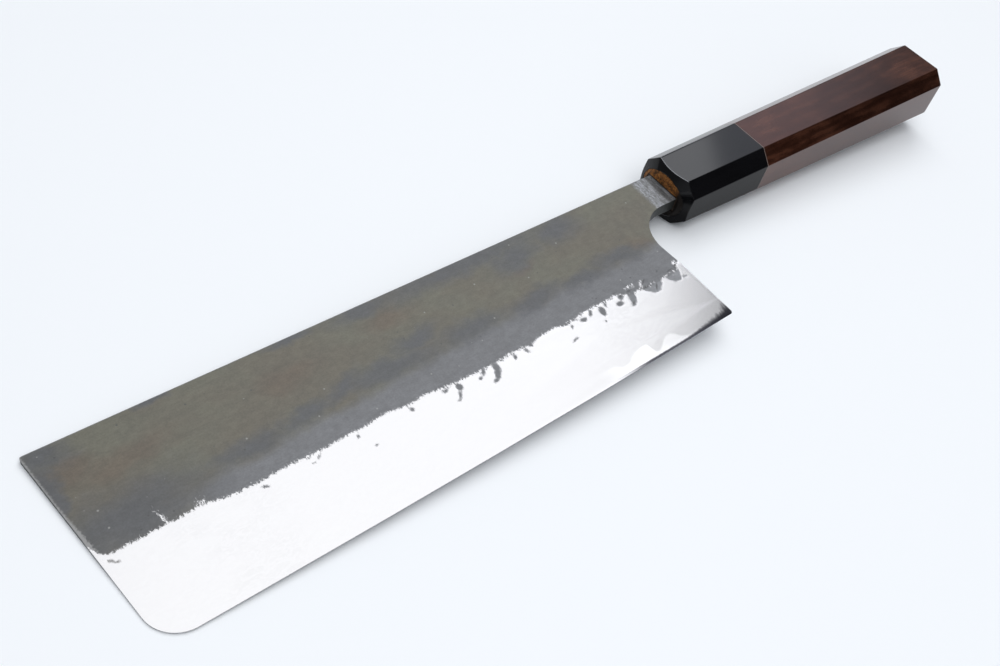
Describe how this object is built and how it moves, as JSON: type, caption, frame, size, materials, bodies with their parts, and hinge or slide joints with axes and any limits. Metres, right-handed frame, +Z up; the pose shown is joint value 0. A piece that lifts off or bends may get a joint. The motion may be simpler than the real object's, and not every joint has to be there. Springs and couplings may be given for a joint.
{
  "type": "nakiri knife",
  "caption": "Square-tipped vegetable knife with a laminated forge-finish blade, polished bevel, and an octagonal wooden handle with a dark ferrule.",
  "frame": {"origin": "middle of the knife's box in plan, on the table that it lies on", "axes": "+X along the handle towards the butt, +Y towards the spine, +Z up out of the blade's left face, with the knife lying on its right face"},
  "size_m": [0.3122, 0.0576, 0.0235],
  "materials": {
    "core_steel": "fine ground, bright",
    "cladding_steel": "dark forge scale above, bright ground bevel below",
    "bedding_resin": "dull resin",
    "dowel_wood": "bare, stained brown",
    "ferrule_horn": "polished black",
    "glue": "clear glue film",
    "handle_wood": "polished reddish-brown hardwood"
  },
  "bodies": {
    "root": {"core_steel": "core_steel", "left_cladding": "cladding_steel", "right_cladding": "cladding_steel", "tang_bedding": "bedding_resin", "dowel": "dowel_wood", "ferrule": "ferrule_horn", "glue_line": "glue", "handle_body": "handle_wood"}
  },
  "joints": []
}
